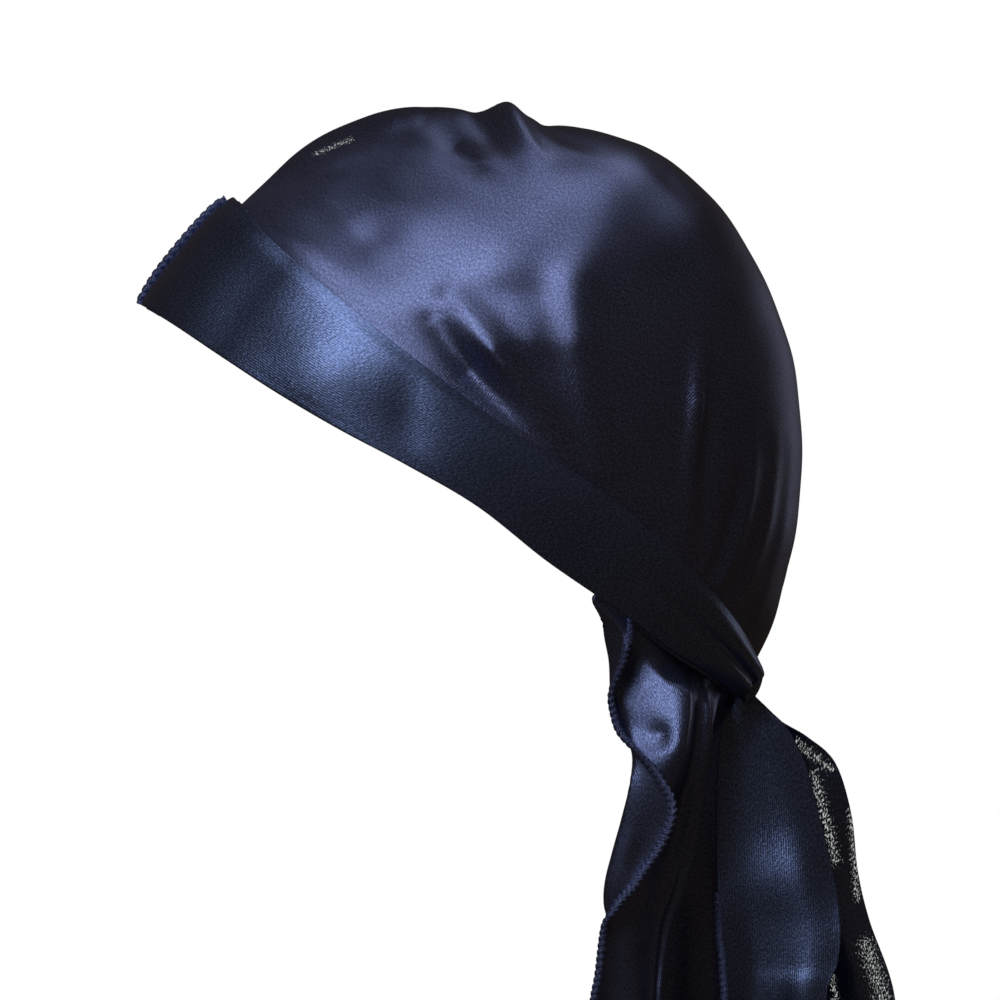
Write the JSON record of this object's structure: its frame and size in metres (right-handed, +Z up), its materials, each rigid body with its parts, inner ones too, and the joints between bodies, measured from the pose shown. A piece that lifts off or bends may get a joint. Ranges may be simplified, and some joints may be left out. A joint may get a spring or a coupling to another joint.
{
  "type": "durag",
  "caption": "Satin head wrap in its worn form: a seamed cap, wide ties wrapped round the brow to a knot at the nape, hanging tie ends and a long tail.",
  "frame": {"origin": "middle of the head opening, halfway between the forehead and the nape on the tilted plane of the ties, where the head fills the cap", "axes": "+Z is up, -Y is where the wearer faces, +X is the wearer's left"},
  "size_m": [0.1657, 0.2442, 0.4295],
  "materials": {
    "cap_satin": "satin",
    "tie_satin": "satin",
    "tail_satin": "satin",
    "edge_thread": "overlocked thread"
  },
  "bodies": {
    "root": {"cap_panel_left": "cap_satin", "cap_panel_right": "cap_satin", "centre_seam": "cap_satin", "tie_left": "tie_satin", "tie_right": "tie_satin", "brow_edging": "edge_thread", "knot": "tie_satin", "tail": "tail_satin", "tail_edging": "edge_thread", "tie_end_left": "tie_satin", "tie_end_left_edging": "edge_thread", "tie_end_right": "tie_satin", "tie_end_right_edging": "edge_thread"}
  },
  "joints": []
}
